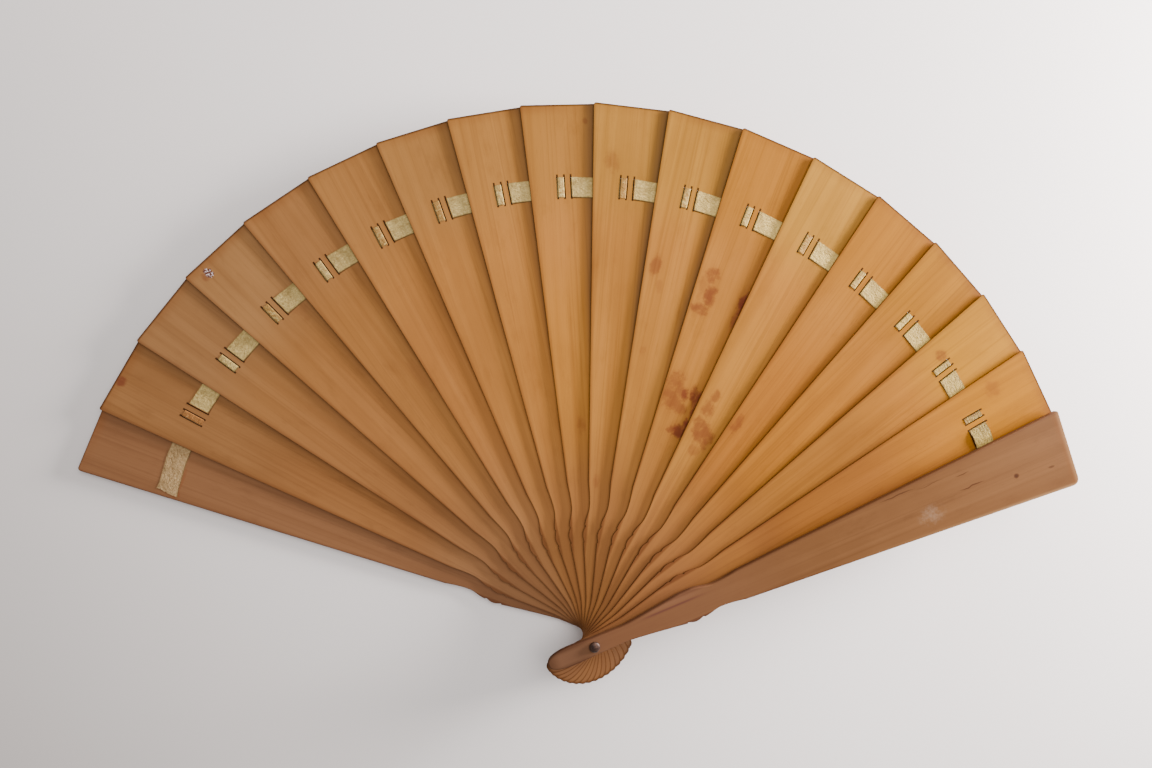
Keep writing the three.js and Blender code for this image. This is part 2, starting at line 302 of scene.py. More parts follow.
def handled(n, k, y, patches, base):
    """Handling darkens the narrow end, and the tip's edge is grimy."""
    guard = k in (0, FRONT)
    grip = n.times(n.remap(y, 0.100, 0.030), 0.22 + 0.02 * k)
    base = n.paint(base, grip, "6a4632" if guard else "7c5848" if k < 6 else "6a4638")
    base = n.paint(base, n.remap(y, 0.010, -0.010, 0.0, 0.50), "604434" if guard else "6c4b36")
    tip = n.times(n.remap(y, 0.1975, 0.2016), n.remap(patches, 0.35, 0.65, 0.25, 0.9), 0.50)
    base = n.paint(base, tip, "70401f")
    return n.paint(base, n.remap(y, 0.2010, 0.2018, 0.0, 0.35 if guard else 0.85), "3c2010")


def slot_grime_and_shade(n, x, y, base):
    """Dark lines in and around the ribbon's slots: grime, and painted shade in the open slots. Also a
    painted shadow line on the wood below the ribbon's lower edge.
    """
    near = None
    for a, b in CUTS:
        gap = n.math("ABSOLUTE", n.math("SUBTRACT", x, (a + b) / 2 * MM))
        near = gap if near is None else n.math("MINIMUM", near, gap)
    inside = n.math("ABSOLUTE", n.math("SUBTRACT", y, RIBBON_AT))
    # painted shade of the open slots, with some grime, drawn a little past their ends
    slot = n.times(n.remap(near, 0.00046, 0.00022), n.remap(inside, 0.0047, 0.0044), 0.95)
    base = n.paint(base, slot, "2c160a")
    # a painted shadow line under the ribbon's lower edge, to the right of the last slot
    below = n.math("ABSOLUTE", n.math("SUBTRACT", y, (LOW - 0.15) * MM))
    shade = n.times(n.remap(below, 0.00042, 0.0001), n.remap(x, 0.0016, 0.0026), 0.75)
    return n.paint(base, shade, "3c2110")


def edge_band(n, x, y):
    """0 inside the blade and 1 at its two long edges."""
    blade = n.math("MAXIMUM", n.math("MULTIPLY_ADD", y, BLADE_TAPER, BLADE_START), 0.0054)
    handle = n.math("MAXIMUM", n.math("MULTIPLY_ADD", y, HANDLE_TAPER, HANDLE_START), 0.0034)
    past = n.math("SUBTRACT", n.math("ABSOLUTE", x), n.math("MINIMUM", blade, handle))
    width = n.remap(y, 0.050, 0.100, 0.0009, 0.0015)
    return n.remap(n.math("DIVIDE", past, width), -1.0, 0.0)


def head_rim(n, x, y):
    """How far out a place on a stick's head is: 1 on its outline."""
    start, end = STICK_HEAD
    slope = 1 / ((end - start) * MM)
    past = n.math("MAXIMUM", n.math("MULTIPLY_ADD", y, slope, -start / (end - start)), 0.0)
    out = n.math("MULTIPLY", n.math("ABSOLUTE", x), 1 / (HEAD_HALF * MM))
    return n.math("ADD", n.math("POWER", out, 2 / BLUNT), n.times(past, past))


def painted_shadow_line(n, k, x, y, base):
    """Painted shadow cast by the next blade's edge, along the line where that edge rests when the fan is
    open.
    """
    turn = math.radians(steps[k])
    half = n.math("MULTIPLY_ADD", y, BLADE_TAPER * math.cos(turn), BLADE_START)
    half = n.math("MAXIMUM", half, 0.0052)
    gap = n.math("SUBTRACT", n.math("SUBTRACT", n.math("MULTIPLY", y, math.sin(turn)), half), x)
    reach = n.math("DIVIDE", gap, n.remap(y, 0.100, 0.195, 0.0020, 0.0060, False))
    # how dark the painted shadow is, fading over a reach that widens towards the tip
    share = n.remap(reach, 1.0, 0.0, 0.0, SHADOW_SHARE.get(k, LITTLE_SHADOW))
    # the painted shadow's colour: greyer on the left sticks, redder on the right
    return n.paint(base, n.times(share, n.remap(y, 0.080, 0.140)), "4c3829" if k < 11 else "6a3424")


def front_guard_edge_light_and_shade(n, x, y, side, base):
    """Painted highlights, partly wear, on the outer part of the right edge and on the tip; painted shade,
    partly dirt, on the inner part of the right edge and along the left edge; and a facet carved along the
    handle's left side, drawn as a painted highlight with a painted shade line at its foot.
    """
    # painted highlight, partly wear, along the outer right edge
    right = n.times(n.remap(y, 0.09, 0.19), side, n.remap(x, 0.0, 0.008), 0.38)
    base = n.paint(base, right, "b08a62")
    # painted highlight, partly wear, along the tip
    base = n.paint(base, n.remap(y, 0.1995, 0.2018, 0.0, 0.28), "b08a62")
    facet = n.times(n.remap(y, 0.018, 0.026), n.remap(y, 0.050, 0.036))
    # the carved facet, shown as a painted highlight
    base = n.paint(base, n.times(facet, n.remap(x, -0.0026, -0.0042, 0.0, 0.22)), "855a44")
    foot = n.math("ABSOLUTE", n.math("ADD", x, 0.0026))
    # a painted shade line at the facet's foot
    base = n.paint(base, n.times(facet, n.remap(foot, 0.0007, 0.0, 0.0, 0.55)), "4a2428")
    # painted shade, partly dirt, on the inner right edge
    lower = n.times(n.remap(side, 0.4, 1.0), n.remap(x, 0.0, 0.004), n.remap(y, 0.110, 0.070), 0.55)
    base = n.paint(base, lower, "43251a")
    # painted shade, partly dirt, along the left edge
    return n.paint(base, n.times(side, n.remap(x, 0.0, -0.004), 0.35), "43251a")


def edge_dirt_and_shade(n, k, x, y, base):
    """Dark lines along the edges, partly dirt and partly painted shade in the gap where the blades
    overlap, and dirt round the head.
    """
    side = edge_band(n, x, y)
    if k in (0, FRONT):
        # the polished head darkens round its end
        base = n.paint(base, n.remap(y, -0.013, -0.0182, 0.0, 0.6), "3a2214")
        flank = n.remap(n.math("ABSOLUTE", x), 0.0016, 0.0034, 0.0, 0.5)
        base = n.paint(base, n.times(n.remap(y, 0.004, -0.006), flank), "3a2214")
    else:
        # painted shadow beside the next blade's edge
        base = painted_shadow_line(n, k, x, y, base)
    if k == FRONT:
        # the front guard gets painted highlights and painted shade along its edges
        return front_guard_edge_light_and_shade(n, x, y, side, base)
    # a thin dark line along each long edge: dirt, and painted shade in the gap where a blade overlaps the
    # next
    share = n.times(n.remap(y, 0.110, 0.060, 0.42, 0.62), n.remap(y, -0.002, 0.004))
    base = n.paint(base, n.times(side, share), "4e2815")
    if k:
        rim = n.times(n.remap(head_rim(n, x, y), 0.66, 0.97), n.remap(y, 0.002, -0.004, 0.0, 0.85))
        base = n.paint(base, rim, "46260f")
    return base


def stained(n, k, x, y, shift, base):
    """Red-brown stains, broken up by noise, each in a faint halo."""
    mottle = n.noise(n.mapped((330, 300, 1), shift), 4.0, 0.6)
    total = None
    for *spot, strength in STAINS[k]:
        away = n.from_spot(x, y, spot)
        edge = n.math("ADD", away, n.remap(mottle, 0.3, 0.7, -0.9, 0.8, False))
        stain = n.remap(edge, 1.9, -0.1, 0.0, strength)
        large = spot[3] > 1.7
        halo = n.remap(away, 4.0, 0.5, 0.0, 0.16 * strength if large else 0.0)
        stain = n.math("MAXIMUM", stain, halo)
        total = stain if total is None else n.math("MAXIMUM", total, stain)
    return n.paint(base, n.times(total, 0.66), "5a1f1a")


def chipped(n, x, y, shift, base):
    """A ragged dark chip with pale flecks of old paper."""
    ragged = n.noise(n.mapped((900, 900, 1), shift), 3.0, 0.6)
    away = n.from_spot(x, y, CHIP)
    edge = n.math("ADD", away, n.remap(ragged, 0.3, 0.7, -0.7, 0.9, False))
    base = n.paint(base, n.remap(edge, 1.5, 0.9, 0.0, 0.85), "4a2622")
    fleck = n.noise(n.mapped((1900, 1700, 1), shift), 2.0, 0.6)
    flecks = n.times(n.remap(away, 1.3, 0.9), n.remap(fleck, 0.52, 0.60, 0.0, 0.9))
    return n.paint(base, flecks, "d9c6c6")


def scuffed(n, x, y, shift, base):
    """The front guard's pale scuff, its dark splits along the grain and two small marks."""
    scuff = n.noise(n.mapped((320, 260, 1), shift), 4.0, 0.7)
    away = n.from_spot(x, y, SCUFF)
    mask = n.times(n.remap(away, 1.4, 0.2), n.remap(scuff, 0.40, 0.70), 0.12)
    base = n.paint(base, mask, "c9b09a")
    wobble = n.noise(n.mapped((60, 160, 1), shift), 2.0, 0.5)
    wavy = n.math("MULTIPLY_ADD", n.math("SUBTRACT", wobble, 0.5), 0.0022, x)
    for *spot, strength in SPLITS:
        base = n.paint(base, n.remap(n.from_spot(wavy, y, spot), 1.3, 0.1, 0.0, strength), "3c2012")
    return base


def wood(name, k):
    """One blade's wood, in the blade's own frame: x across it and y along it, in metres."""
    n = Nodes(name)
    guard = k in (0, FRONT)
    rng = random.Random(100 + k)
    shift = (rng.uniform(-9, 9), rng.uniform(-9, 9), rng.uniform(-9, 9))
    x, y, _ = n.split()
    # growth rings cut lengthwise: soft bands a few millimetres wide, and fine lines inside them
    bands = n.noise(n.mapped((230, 4.0, 80), shift), 2.0, 0.5, 0.5)
    lines = n.noise(n.mapped((1100, 9, 300), shift), 3.0, 0.55, 0.3)
    pores = n.noise(n.mapped((5200, 150, 900), shift), 2.0, 0.6)
    patches = n.noise(n.mapped((38, 17, 30), shift), 3.0, 0.55)
    blotch = n.noise(n.mapped((160, 60, 60), shift), 4.0, 0.7)
    tone = colour(GUARD_TONES[k]) if guard else stick_tone(k, rng.uniform(-0.05, 0.05))
    light = scaled(tone, 1.09, 1.10, 1.14)
    middle = scaled(tone, 0.93, 0.91, 0.91)
    dark = scaled(tone, 0.52, 0.46, 0.46)
    line_depth = 0.20 if guard or k < 7 else 0.27
    base = n.blend(n.remap(bands, 0.30, 0.70), middle, light)
    base = n.blend(n.times(n.remap(lines, 0.50, 0.68), line_depth), base, dark)
    base = n.blend(n.times(n.remap(pores, 0.58, 0.78), 0.30), base, dark)
    base = n.blend(n.times(n.remap(patches, 0.42, 0.75), 0.30), base, dark)
    base = n.blend(n.remap(blotch, 0.52, 0.78, 0.0, 0.28), base, dark)
    if not guard:
        # each stick is tinted in its own way towards its tip and in its middle
        outer_tint, middle_tint = STICK_TINTS[k]
        base = n.tinted(base, n.remap(y, 0.150, 0.180), outer_tint)
        base = n.tinted(base, n.times(n.remap(y, 0.160, 0.120), n.remap(y, 0.055, 0.080)), middle_tint)
    base = handled(n, k, y, patches, base)
    if not guard:
        base = slot_grime_and_shade(n, x, y, base)
    base = edge_dirt_and_shade(n, k, x, y, base)
    if k in STAINS:
        base = stained(n, k, x, y, shift, base)
    if k == 3:
        base = chipped(n, x, y, shift, base)
    if k == 0:
        for *spot, strength in GLUE:
            base = n.paint(base, n.remap(n.from_spot(x, y, spot), 1.5, 0.1, 0.0, strength * 0.8), "70391d")
    if k == FRONT:
        base = scuffed(n, x, y, shift, base)
    n.put(n.bsdf.inputs["Base Color"], base)
    sheen = n.remap(patches, 0.3, 0.7, 0.58, 0.48, False)
    rough = n.math("ADD", sheen, n.remap(pores, 0.4, 0.8, -0.03, 0.12, False))
    n.put(n.bsdf.inputs["Roughness"], rough)
    n.bsdf.inputs["Specular IOR Level"].default_value = {0: 0.10, FRONT: 0.03}.get(k, 0.02)
    normal = n.bump(lines, 0.35, 0.00006)
    normal = n.bump(pores, 0.30, 0.00004, normal)
    normal = n.bump(n.noise(n.mapped((70, 22, 1), shift), 1.0), 0.5, 0.00025, normal)
    n.put(n.bsdf.inputs["Normal"], normal)
    return n.mat


# ---------------------------------------------------------------- blades
def shares(count, first=0):
    """Even shares of 1, from first / count up to 1."""
    return [i / count for i in range(first, count + 1)]


def long_edge(corner, head, smooth=False):
    """(half width, distance from the rivet) from the tip down to the head's end, in millimetres."""
    head_start, head_end = head
    pts = []
    for t in shares(6):
        a = math.pi / 2 * (1 - t)
        pts.append((TIP_HALF - corner + corner * math.cos(a), TIP - corner + corner * math.sin(a)))
    for t in shares(12):
        half = mix(TAPER_END[0], WAIST[0], math.sin(t * math.pi / 2))
        pts.append((half, mix(TAPER_END[1], WAIST[1], t)))
    # most blades have a rounded step below the waist, and the front guard's left side is worn smooth
    swell, swell_at = (6.2, 41) if smooth else (6.05, 43)
    for t in shares(12, 1):
        half = mix(WAIST[0], swell, (1 - math.cos(t * math.pi)) / 2)
        pts.append((half, mix(WAIST[1], swell_at, t)))
    for t in shares(12):
        if smooth:
            pts.append((mix(swell, 6.03, t), mix(40.5, STEP_FOOT, t)))
        else:
            half = STEP_HALF + STEP_SWELL * math.sin(t * math.pi)
            pts.append((half, mix(STEP_TOP, STEP_FOOT, t)))
    for t in shares(10):
        half = mix(HANDLE_TOP[0], NECK[0], 1 - (1 - t) ** 1.15)
        pts.append((half, mix(HANDLE_TOP[1], NECK[1], t)))
    for t in shares(6, 1):
        pts.append((mix(NECK[0], HUB_HALF, t), mix(NECK[1], 0, t)))
    for t in shares(6, 1):
        pts.append((mix(HUB_HALF, HEAD_HALF, math.sin(t * math.pi / 2)), head_start * t))
    for t in shares(12, 1)[:-1]:
        a = math.pi / 2 * t
        pts.append((HEAD_HALF * math.cos(a) ** BLUNT, mix(head_start, head_end, math.sin(a))))
    return pts


def add_loop(curve, points):
    """Adds a closed outline, given in millimetres."""
    spline = curve.splines.new("POLY")
    spline.points.add(len(points) - 1)
    for p, (px, py) in zip(spline.points, points):
        p.co = (px * MM, py * MM, 0, 1)
    spline.use_cyclic_u = True


def circle(radius, sides):
    """Points round a circle about the rivet's axis."""
    turns = [math.tau * i / sides for i in range(sides)]
    return [(radius * math.cos(turn), radius * math.sin(turn)) for turn in turns]


def blade_mesh(k):
    """A blade's mesh about its middle height, and that height."""
    guard = k in (0, FRONT)
    head = GUARD_HEAD if guard else STICK_HEAD
    right = long_edge(2.8 if k == FRONT else 0.7, head)
    left = long_edge(1.2 if k == 0 else 0.7, head, smooth=k == FRONT)
    low, high = blade_z(k)
    bevel = 0.45 * MM if guard else 0.13 * MM
    curve = bpy.data.curves.new(f"outline_{k}", "CURVE")
    curve.dimensions = "2D"
    curve.fill_mode = "BOTH"
    add_loop(curve, right + [(-a, b) for a, b in reversed(left)])
    add_loop(curve, circle(HOLE, 32))
    if not guard:
        slack = 0.03
        for a, b in CUTS:
            low_end, high_end = LOW - slack, HIGH + slack
            add_loop(curve, [(a, low_end), (b, low_end), (b, high_end), (a, high_end)])
    curve.extrude = (high - low) / 2 - bevel
    curve.bevel_depth = bevel
    curve.bevel_resolution = 4 if guard else 2
    curve.offset = -bevel
    temp = bpy.data.objects.new("temp", curve)
    bpy.context.scene.collection.objects.link(temp)
    graph = bpy.context.evaluated_depsgraph_get()
    mesh = bpy.data.meshes.new_from_object(temp.evaluated_get(graph))
    bpy.data.objects.remove(temp)
    bm = bmesh.new()
    bm.from_mesh(mesh)
    bmesh.ops.remove_doubles(bm, verts=bm.verts, dist=2e-6)
    bmesh.ops.recalc_face_normals(bm, faces=bm.faces)
    for f in bm.faces:
        f.smooth = abs(f.normal.z) < 0.999
    bm.to_mesh(mesh)
    bm.free()
    mesh.name = f"blade_{k:02d}"
    return mesh, (low + high) / 2


def link(name, mesh, matrix, mat):
    """Puts a mesh in the scene, in one material."""
    obj = bpy.data.objects.new(name, mesh)
    obj.matrix_world = matrix
    mesh.materials.clear()
    mesh.materials.append(mat)
    bpy.context.scene.collection.objects.link(obj)
    return obj


for k in range(18):
    mesh, middle = blade_mesh(k)
    matrix = place(k) @ Matrix.Translation((0, 0, middle))
    obj = link(f"blade_{blade_name(k)}", mesh, matrix, wood(f"wood_{k:02d}", k))
    mesh.set_sharp_from_angle(angle=math.radians(40))
    # the two broad faces are flat, and the bevels and edges between them are smooth
    for p in mesh.polygons:
        p.use_smooth = abs(p.normal.z) < 0.999
    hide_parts(blade_name(k))
    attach(obj, blade_name(k))

# ---------------------------------------------------------------- rivet
def metal():
    n = Nodes("rivet_metal")
    grime = n.noise(n.mapped((900, 900, 900)), 4.0, 0.65)
    base = n.blend(n.remap(grime, 0.35, 0.7), colour("2c1a14"), colour("4a3022"))
    n.put(n.bsdf.inputs["Base Color"], base)
    n.bsdf.inputs["Metallic"].default_value = 0.55
    n.put(n.bsdf.inputs["Roughness"], n.remap(grime, 0.3, 0.7, 0.42, 0.62, False))
    n.put(n.bsdf.inputs["Normal"], n.bump(grime, 0.4, 0.00008))
    return n.mat


def turned(name, profile, sides=48):
    """A closed turned shape from (radius, z) pairs that start and end on the axis, in metres."""
    bm = bmesh.new()
    rings = []
    for r, z in profile:
        points = [(0, 0)] if r == 0 else circle(r, sides)
        rings.append([bm.verts.new((px, py, z)) for px, py in points])
    for a, b in zip(rings, rings[1:]):
        for i in range(sides):
            j = (i + 1) % sides
            if len(a) == 1:
                bm.faces.new((a[0], b[j], b[i]))
            elif len(b) == 1:
                bm.faces.new((a[i], a[j], b[0]))
            else:
                bm.faces.new((a[i], a[j], b[j], b[i]))
    bmesh.ops.recalc_face_normals(bm, faces=bm.faces)
    for f in bm.faces:
        f.smooth = True
    mesh = bpy.data.meshes.new(name)
    bm.to_mesh(mesh)
    bm.free()
    mesh.set_sharp_from_angle(angle=math.radians(38))
    return mesh


rivet_mat = metal()
# radii of the shank, the dome, the foot and the foot's bore, with the dome's two heights and the
# thickness of the foot's floor, in metres
SHANK, DOME, DOME_HEIGHT, DOME_RIM = 0.001, 0.00204, 0.0013, 0.0002
FOOT, FOOT_BORE, FOOT_FLOOR = 0.002, 0.00106, 0.0002
pin_low, pin_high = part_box("rivet_pin")
bottom, seat = pin_low[2], pin_high[2] - DOME_HEIGHT
dome = [
    (0, bottom), (SHANK - 0.00008, bottom), (SHANK, bottom + 0.00008),
    (SHANK, seat), (DOME - 0.00009, seat), (DOME, seat + 0.00009),
]
for t in shares(12):
    a = math.pi / 2 * t
    dome.append((DOME * math.cos(a) if t < 1 else 0, mix(seat + DOME_RIM, pin_high[2], math.sin(a))))
pin = link("rivet_dome_and_shank", turned("rivet_dome", dome), Matrix(), rivet_mat)
cap_low, cap_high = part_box("rivet_cap")
top = cap_high[2]
foot = [
    (0, 0), (FOOT - 0.00015, 0), (FOOT - 0.00005, 0.00004), (FOOT, 0.00012),
    (FOOT, top - 0.00006), (FOOT - 0.00006, top),
    (FOOT_BORE, top), (FOOT_BORE, FOOT_FLOOR), (0, FOOT_FLOOR),
]
cap = link("rivet_foot_disc", turned("rivet_foot", foot), Matrix(), rivet_mat)
for obj, node in ((pin, "rivet_pin"), (cap, "rivet_cap")):
    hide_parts(node)
    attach(obj, "back_guard")

# ---------------------------------------------------------------- ribbon
HALF_THICK = 0.05  # millimetres
ROWS = 26  # faces across the ribbon
UV_WIDTH = 8.0  # what V counts up to across the ribbon


def silk(name, tone=(1, 1, 1), soiled=0.0, sunk=None):
    """Ribbon silk. tone scales its colour, and soiled is how much brown it has taken up. Below
    the height sunk, in millimetres, it is painted dark: shade, with some dirt."""
    n = Nodes(name)
    # U is in millimetres along the ribbon, and V runs from 0 to UV_WIDTH across it
    u, v, _ = n.split("UV")

    def washed(base, share, code):
        return n.blend(share, base, scaled(colour(code), *tone))

    warp = n.math("SINE", n.math("MULTIPLY", v, math.tau / 0.30))
    weft = n.math("SINE", n.math("MULTIPLY", u, math.tau / 0.26))
    weave = n.math("MULTIPLY", warp, weft)
    mottle = n.noise(n.mapped((1.3, 1.3, 1), coords="UV"), 5.0, 0.7)
    soil = n.noise(n.mapped((0.38, 0.38, 1), coords="UV"), 3.0, 0.6)
    fibre = n.noise(n.mapped((0.7, 6.0, 1), coords="UV"), 3.0, 0.65)
    base = washed(scaled(colour("9c7c40"), *tone), n.remap(mottle, 0.28, 0.70), "d3b472")
    base = washed(base, n.times(n.remap(soil, 0.50, 0.75), 0.55), "8a6730")
    base = washed(base, n.times(n.remap(fibre, 0.46, 0.66), 0.50), "7c6530")
    base = washed(base, n.remap(weave, -1.0, 1.0, 0.0, 0.14, False), "e4cf94")
    # the selvedges are a little darker and denser, and the lower one has a dark line
    rim = n.remap(n.math("ABSOLUTE", n.math("SUBTRACT", v, UV_WIDTH / 2)), 3.5, 3.95)
    base = washed(base, n.times(rim, 0.45), "826631")
    base = n.paint(base, n.remap(v, 0.55, 0.0, 0.0, 0.75), "4a3217")
    # painted shade of broad folds that run across it at a slant, stronger towards the upper selvedge
    fold = n.noise(n.mapped((0.28, 0.16, 1), coords="UV", turn=0.5), 2.0, 0.5, 0.6)
    fold_shade = n.times(n.remap(fold, 0.36, 0.62), n.remap(v, 1.5, 6.5, 0.25, 1.0), 0.46)
    base = washed(base, fold_shade, "7d6234")
    if soiled:
        rub = n.noise(n.mapped((0.9, 0.7, 1), coords="UV"), 4.0, 0.65)
        most = min(1.0, 0.55 + 0.45 * soiled)
        brown = n.remap(rub, 0.62 - 0.36 * soiled, 0.80 - 0.36 * soiled, 0.0, most)
        base = washed(base, brown, "8f6430")
    if sunk is not None:
        # what dips below the wood's face into a slot is dark: painted shade, with some dirt
        depth = n.remap(n.split()[2], sunk * MM, (sunk - 0.22) * MM, 0.0, 0.9)
        base = n.paint(base, depth, "2e1a0c")
    n.put(n.bsdf.inputs["Base Color"], base)
    n.bsdf.inputs["Roughness"].default_value = 0.65
    n.bsdf.inputs["Specular IOR Level"].default_value = 0.10
    n.bsdf.inputs["Sheen Weight"].default_value = 0.06
    n.bsdf.inputs["Sheen Roughness"].default_value = 0.4
    normal = n.bump(weave, 0.35, 0.00003)
    normal = n.bump(mottle, 0.5, 0.00012, normal)
    normal = n.bump(fibre, 0.5, 0.00008, normal)
    crease = n.noise(n.mapped((0.55, 0.9, 1), coords="UV", turn=0.6), 2.0, 0.5, 0.8)
    normal = n.bump(crease, 0.7, 0.0004, normal)
    n.put(n.bsdf.inputs["Normal"], normal)
    return n.mat


# How bright the ribbon is at each blade, from the back guard on.
GLOW = (
    0.86, 0.84, 0.82, 0.80, 0.82, 0.85, 0.90, 0.96, 1.02,
    1.08, 1.14, 1.20, 1.22, 1.14, 1.04, 0.90, 0.70,
)
# How brown the short visible piece between the first two slots of each stick is.
SOILED = (0, 1.0, 0.1, 0.7, 0.35, 0.75, 0.8, 0.45, 0.45, 0.85, 0.55, 0.4, 0.7, 0.5, 0.15, 0.4, 0.6)
# How far the ribbon on the back guard lies below its line, in millimetres: where the first span
# starts, and at its ragged end.
SKEW_START, SKEW_END = 0.9, 2.3


def silk_tone(k):
    """The ribbon is a little yellower towards the front guard."""
    t = min(max((k - 7) / 9, 0), 1)
    return (GLOW[k] * (1 - 0.10 * t), GLOW[k] * (1 - 0.15 * t), GLOW[k] * (1 - 0.46 * t))


def frayed(jag, t, count):
    """A place along the strip moved on by the ragged start, which fades out over three faces."""
    return t + max(0.0, 1 - t * count / 3) * (jag + 0.35) / count


def strip_mesh(name, centre, count, u0=0.0, fray_start=False, seed=1):
    """A thin closed strip. centre(t, v) gives a point in millimetres for t in 0..1 along it
    and v in 0..1 across it; the surface is HALF_THICK to each side along the local normal."""
    rng = random.Random(seed)
    jag = []
    for j in range(ROWS + 1):
        jag.append(rng.uniform(-0.35, 0.35) + 0.5 * noise.noise(Vector((j * 0.4, seed * 3.1, 0))))
    grid = []
    for t in shares(count):
        row = []
        for j in range(ROWS + 1):
            along = frayed(jag[j], t, count) if fray_start else t
            row.append(Vector(centre(along, j / ROWS)))
        grid.append(row)
    length = [0.0]
    for a, b in zip(grid, grid[1:]):
        length.append(length[-1] + (b[ROWS // 2] - a[ROWS // 2]).length)
    bm = bmesh.new()
    uv = bm.loops.layers.uv.new("uv")
    top, bottom = [], []
    for i in range(count + 1):
        upper, lower = [], []
        for j in range(ROWS + 1):
            forward = grid[min(i + 1, count)][j] - grid[max(i - 1, 0)][j]
            sideways = grid[i][min(j + 1, ROWS)] - grid[i][max(j - 1, 0)]
            out = forward.cross(sideways).normalized() * HALF_THICK
            upper.append(bm.verts.new((grid[i][j] + out) * MM))
            lower.append(bm.verts.new((grid[i][j] - out) * MM))
        top.append(upper)
        bottom.append(lower)

    def face(verts, spots):
        f = bm.faces.new(verts)
        f.smooth = True
        for loop, (i, j) in zip(f.loops, spots):
            loop[uv].uv = (u0 + length[i], UV_WIDTH * j / ROWS)

    for i in range(count):
        for j in range(ROWS):
            spots = ((i, j), (i + 1, j), (i + 1, j + 1), (i, j + 1))
            face([top[a][b] for a, b in spots], spots)
            spots = ((i, j), (i, j + 1), (i + 1, j + 1), (i + 1, j))
            face([bottom[a][b] for a, b in spots], spots)
    for i in range(count):
        for j in (0, ROWS):
            spots = ((i, j), (i + 1, j), (i + 1, j), (i, j))
            face([top[i][j], top[i + 1][j], bottom[i + 1][j], bottom[i][j]], spots)
    for j in range(ROWS):
        for i in (0, count):
            spots = ((i, j), (i, j + 1), (i, j + 1), (i, j))
            face([top[i][j], top[i][j + 1], bottom[i][j + 1], bottom[i][j]], spots)
    bmesh.ops.recalc_face_normals(bm, faces=bm.faces)
    mesh = bpy.data.meshes.new(name)
    bm.to_mesh(mesh)
    bm.free()
    mesh.set_sharp_from_angle(angle=math.radians(60))
    return mesh


def across(v):
    """The distance from the rivet, in millimetres, of a place across the ribbon."""
    return mix(LOW, HIGH, v)


def rounded(points, radius, per_corner=5):
    """A polyline in the plane with its corners rounded."""
    out = [Vector(points[0])]
    for a, b, c in zip(points, points[1:], points[2:]):
        a, b, c = Vector(a), Vector(b), Vector(c)
        r = min(radius, (a - b).length * 0.45, (c - b).length * 0.45)
        start, end = b + (a - b).normalized() * r, b + (c - b).normalized() * r
        for i in range(per_corner + 1):
            t = i / per_corner
            out.append(start * (1 - t) ** 2 + b * 2 * t * (1 - t) + end * t ** 2)
    out.append(Vector(points[-1]))
    return out


def even(points, count):
    """The same polyline with evenly spaced points."""
    total = [0.0]
    for a, b in zip(points, points[1:]):
        total.append(total[-1] + (b - a).length)
    out = []
    for i in range(count + 1):
        want = total[-1] * i / count
        j = max(m for m in range(len(points) - 1) if total[m] <= want + 1e-9)
        part = (want - total[j]) / max(total[j + 1] - total[j], 1e-9)
        out.append(points[j].lerp(points[j + 1], min(part, 1)))
    return out


A, B, C = LEGS
CLEAR = 0.10  # from the wood's face to the middle of the ribbon, in millimetres
FIRST_LEG, LAST_LEG = A - 0.16, C + 0.3  # where a woven piece starts and ends
WOVEN, SPAN = 60, 30  # faces along a woven piece and along a span
U_STEP = 31.0  # U from one blade's ribbon to the next, so that no two look alike
for k in range(1, 17):
    low, high = blade_z(k)
    under, over = -CLEAR, (high - low) / MM + CLEAR
    # up through A, over, down through B, under, up through C, and out to the right
    path = [
        (FIRST_LEG, under), (A, under), (A, over), (B, over),
        (B, under), (C, under), (C, over), (LAST_LEG, over),
    ]
    path = even(rounded(path, 0.22), WOVEN)

    def weave(t, v, path=path):
        i = min(int(t * WOVEN), WOVEN - 1)
        p = path[i].lerp(path[i + 1], t * WOVEN - i)
        # the visible piece between A and B stands up a little in its middle
        swell = 0.05 * max(0.0, 1 - ((p.x - (A + B) / 2) / 1.2) ** 2) if p.y > 0.5 else 0.0
        return (p.x, across(v), p.y + swell)

    mesh = strip_mesh(f"weave_{k:02d}", weave, WOVEN, u0=k * U_STEP, seed=k * 7)
    tone = (0.84, 0.72, 0.84) if k == 1 else silk_tone(k)
    mat = silk(f"silk_weave_{k:02d}", tone, SOILED[k], 0.7)
    matrix = place(k) @ Matrix.Translation((0, 0, low))
    obj = link(f"silk_weave_{k:02d}", mesh, matrix, mat)
    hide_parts(f"ribbon_weave_{k:02d}")
    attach(obj, blade_name(k))

silk_old = silk("silk_back_end", (0.64, 0.58, 0.74), 0.18)
GLUED = 1.5  # where the back guard's glued end stops and the first span starts
BELLY, PEAK = 0.55, 0.22  # shares of a span: where its low hump ends, and where the last one peaks


def span_height(k, t, gap):
    """A span's height over its left blade, with gap the distance up to the next blade."""
    if k == 16 and t < PEAK:
        # the last span stands up in a tight arch
        return CLEAR + (gap - 2 * CLEAR) * math.sin(math.pi / 2 * t / PEAK)
    if k == 16:
        # and then dips under the guard
        dip = math.sin(math.pi * min((t - PEAK) / (1 - PEAK), 1.0)) ** 1.2
        return gap - CLEAR - (gap - 4 * CLEAR) * dip
    rise = CLEAR + (gap - 2 * CLEAR) * (3 * t * t - 2 * t ** 3)
    hump = math.sin(math.pi * t / BELLY) if t < BELLY else 0.0
    return rise + 0.045 * hump


